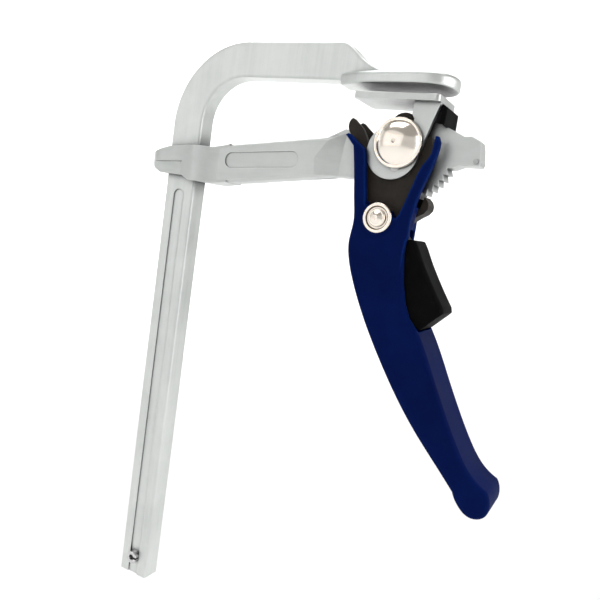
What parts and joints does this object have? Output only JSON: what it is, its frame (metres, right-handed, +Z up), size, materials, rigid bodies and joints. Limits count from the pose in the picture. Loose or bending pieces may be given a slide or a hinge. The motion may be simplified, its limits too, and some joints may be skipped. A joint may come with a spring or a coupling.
{
  "type": "quick release bar clamp",
  "caption": "Bar clamp with a fixed round-nosed jaw, a sliding arm, and a ratchet hand lever with a trigger that lifts a small pressure plate.",
  "frame": {"origin": "on the fixed jaw's clamping face, above the pressure plate", "axes": "+Z up along the bar, opposite to the way the fixed jaw faces; +X from the bar towards the lever; the front of the picture faces -Y"},
  "size_m": [0.1167, 0.0184, 0.168],
  "materials": {
    "zinc_plated_steel": "satin zinc plate",
    "blue_shell": "semi-gloss, finely grained",
    "dark_oxide_steel": "matte dark oxide",
    "nickel_rivet": "polished nickel",
    "black_plastic": "fine moulded grain",
    "spring_steel": "plain steel"
  },
  "bodies": {
    "rail": {"profile_rail": "zinc_plated_steel", "end_stop_pin": "spring_steel"},
    "slider": {"sliding_arm": "zinc_plated_steel", "guide_block": "dark_oxide_steel", "tip_pin": "spring_steel", "lever_pivot_rivet": "nickel_rivet", "pivot_washers": "nickel_rivet"},
    "lever": {"lever_plate_front": "dark_oxide_steel", "lever_plate_rear": "dark_oxide_steel", "plate_dowels": "spring_steel", "lever_handle": "blue_shell", "pawl_rivet": "nickel_rivet", "rivet_cups": "nickel_rivet", "pawl_spring": "spring_steel"},
    "trigger_unit": {"pawl": "dark_oxide_steel", "trigger": "black_plastic", "trigger_pin": "spring_steel"},
    "pressure_arm": {"cheek_front": "zinc_plated_steel", "cheek_rear": "zinc_plated_steel", "pressure_pad": "zinc_plated_steel", "cam_follower_pin": "spring_steel"}
  },
  "joints": [
    {"name": "arm_slide", "type": "slide", "parent": "rail", "child": "slider", "axis": [0, 0, -1], "range_m": [0, 0.1195]},
    {"name": "lever_swing", "type": "hinge", "parent": "slider", "child": "lever", "pos_m": [0.003, 0, -0.0141], "axis": [0, -1, 0], "range_deg": [0, 36.5]},
    {"name": "trigger_squeeze", "type": "hinge", "parent": "lever", "child": "trigger_unit", "pos_m": [0.0013, 0, -0.0328], "axis": [0, 1, 0], "range_deg": [-5, 5], "stiffness_Nm_per_rad": 0.2, "deforming": ["pawl_spring"]},
    {"name": "pressure_lift", "type": "slide", "parent": "slider", "child": "pressure_arm", "axis": [0, 0, -1], "range_m": [0, 0.0024]}
  ],
  "couplings": [
    {"joint": "pressure_lift", "follows": "lever_swing", "m_per_rad": 0.0037673}
  ]
}
